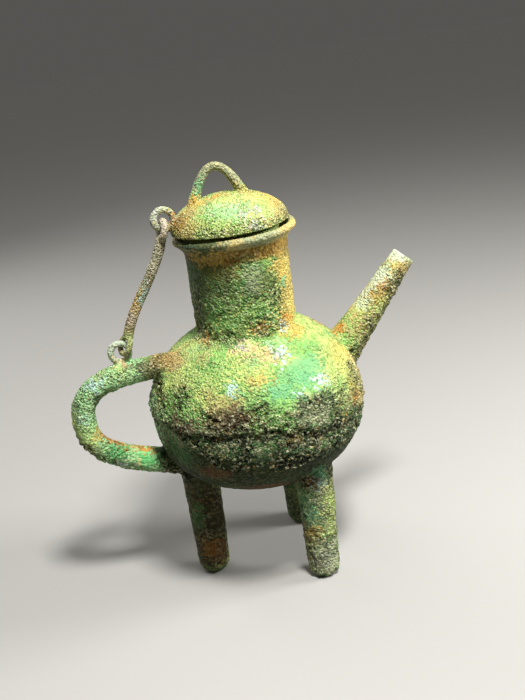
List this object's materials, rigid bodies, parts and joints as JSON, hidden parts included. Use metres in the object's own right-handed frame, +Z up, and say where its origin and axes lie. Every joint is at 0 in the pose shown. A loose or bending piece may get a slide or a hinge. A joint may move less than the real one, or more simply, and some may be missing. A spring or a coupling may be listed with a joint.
{
  "type": "lidded bronze ewer",
  "caption": "Round-bodied bronze ewer on straight legs, with a low domed lid, a straight rising spout and a C-shaped handle. A long link holds the lid to the handle.",
  "frame": {"origin": "on the ground under the middle of the overall length, from the handle's back to the spout's tip; the body's axis is 2.2 mm from it along +X", "axes": "+Z up, +X towards the spout, -X towards the handle"},
  "size_m": [0.2117, 0.124, 0.2448],
  "materials": {
    "crusted_bronze": "thick granular green and ochre corrosion",
    "lid_bronze": "granular yellow-green corrosion",
    "link_bronze": "pale grey-green pitted corrosion"
  },
  "bodies": {
    "root": {"ewer": "crusted_bronze", "lid": "lid_bronze", "lid_link": "link_bronze"}
  },
  "joints": []
}
